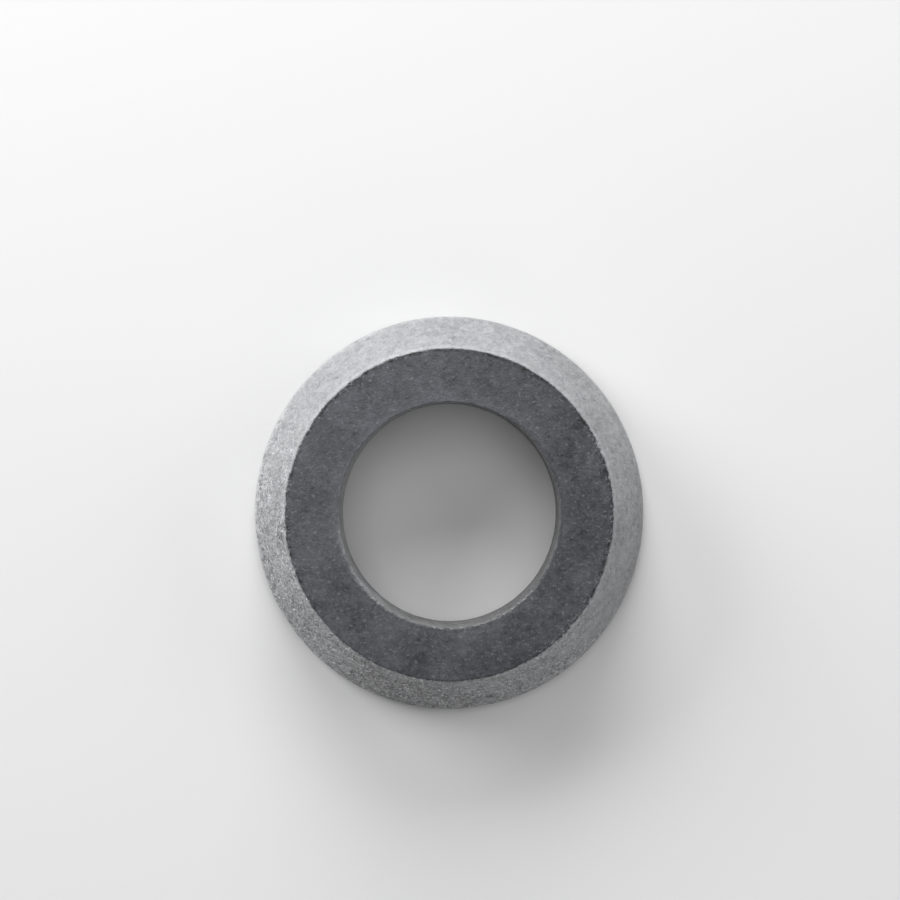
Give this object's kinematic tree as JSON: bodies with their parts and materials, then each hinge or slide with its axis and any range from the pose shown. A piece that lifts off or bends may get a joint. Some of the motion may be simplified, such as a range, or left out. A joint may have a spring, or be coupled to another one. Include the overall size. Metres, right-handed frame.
{
  "type": "flush valve seal",
  "caption": "Thick sponge rubber ring with a straight bore and a tapered outer flank, which seals round the outlet of a cistern's flush valve.",
  "frame": {"origin": "middle of the wide face, in the plane of that face", "axes": "+Z along the bore, from the wide face up to the narrow face; X and Y in the wide face, any turn about Z is the same"},
  "size_m": [0.094, 0.094, 0.025],
  "materials": {
    "sponge_rubber": "matt charcoal moulded sponge with a dusty, lighter skin on the tapered flank"
  },
  "bodies": {
    "root": {"seal_ring": "sponge_rubber"}
  },
  "joints": []
}
